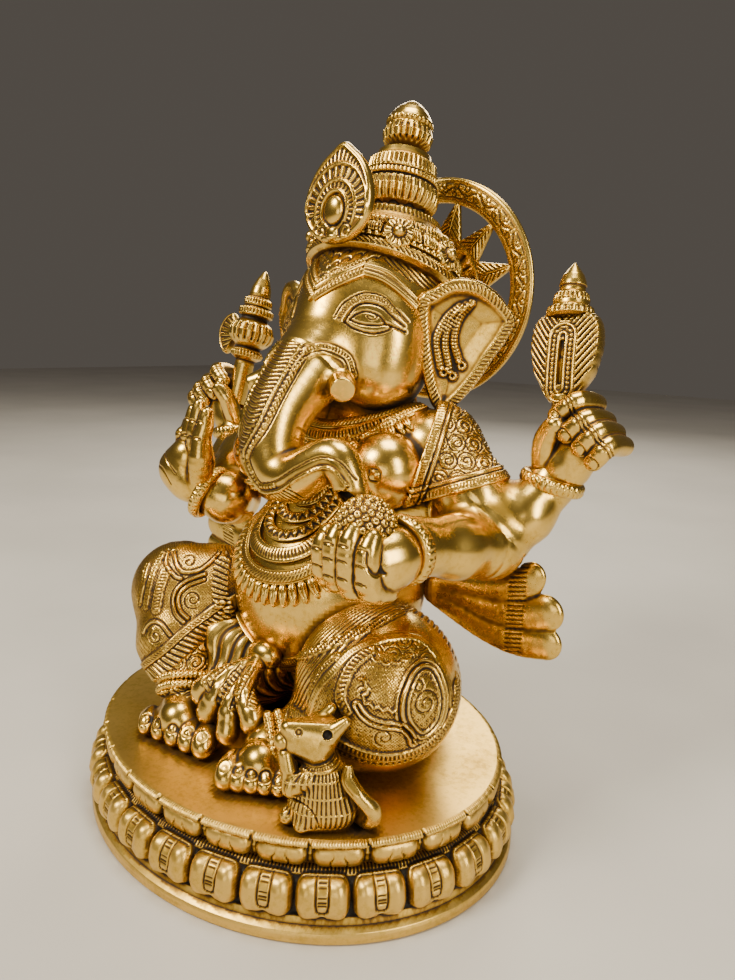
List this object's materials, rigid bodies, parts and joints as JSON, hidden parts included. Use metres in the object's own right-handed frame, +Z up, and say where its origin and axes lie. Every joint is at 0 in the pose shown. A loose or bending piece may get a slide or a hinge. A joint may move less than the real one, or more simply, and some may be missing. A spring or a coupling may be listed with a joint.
{
  "type": "seated deity statue",
  "caption": "Cast-brass elephant-headed deity seated on an oval lotus pedestal, four arms, tall crown with a wheel halo, and a small mouse.",
  "frame": {"origin": "centre of the statue's outer box, on the plane that the pedestal stands on", "axes": "+Z up, -Y is the way the figure faces, +X is the figure's own left side"},
  "size_m": [0.2268, 0.1908, 0.32],
  "materials": {
    "brass_polished": "polished cast brass with dark patina left in the recesses",
    "brass_satin": "satin rubbed brass",
    "brass_antique": "dark antique brass, little polished",
    "steel": "plain bolt steel"
  },
  "bodies": {
    "root": {"base_flange_tier": "brass_satin", "base_deck_tier": "brass_satin", "figure_bolts": "steel", "seat_dhoti": "brass_polished", "belly_torso": "brass_polished", "left_leg": "brass_polished", "right_leg": "brass_polished", "left_foot": "brass_polished", "right_foot": "brass_polished", "anklets": "brass_polished", "left_upper_arm": "brass_polished", "right_upper_arm": "brass_polished", "left_rear_forearm": "brass_polished", "right_rear_forearm": "brass_polished", "left_front_forearm": "brass_polished", "right_front_forearm": "brass_polished", "left_rear_bangle": "brass_polished", "right_rear_bangle": "brass_polished", "left_front_bangle": "brass_polished", "right_front_bangle": "brass_polished", "left_rear_hand": "brass_polished", "right_rear_hand": "brass_polished", "left_front_hand": "brass_polished", "right_front_hand": "brass_polished", "modak": "brass_polished", "noose_emblem": "brass_antique", "axe": "brass_antique", "head": "brass_polished", "trunk": "brass_polished", "left_tusk": "brass_polished", "right_tusk": "brass_polished", "left_ear": "brass_polished", "right_ear": "brass_polished", "headband": "brass_polished", "crown_band": "brass_polished", "crown_dome": "brass_polished", "crown_finial": "brass_polished", "crown_plaque": "brass_polished", "halo_ring": "brass_antique", "halo_screw": "brass_antique", "necklace_collar": "brass_polished", "long_garland": "brass_polished", "shawl": "brass_polished", "waist_belt": "brass_polished", "waist_sash_knot": "brass_polished", "left_sash": "brass_antique", "right_sash": "brass_antique", "mouse_body": "brass_antique", "mouse_tail": "brass_antique"}
  },
  "joints": []
}
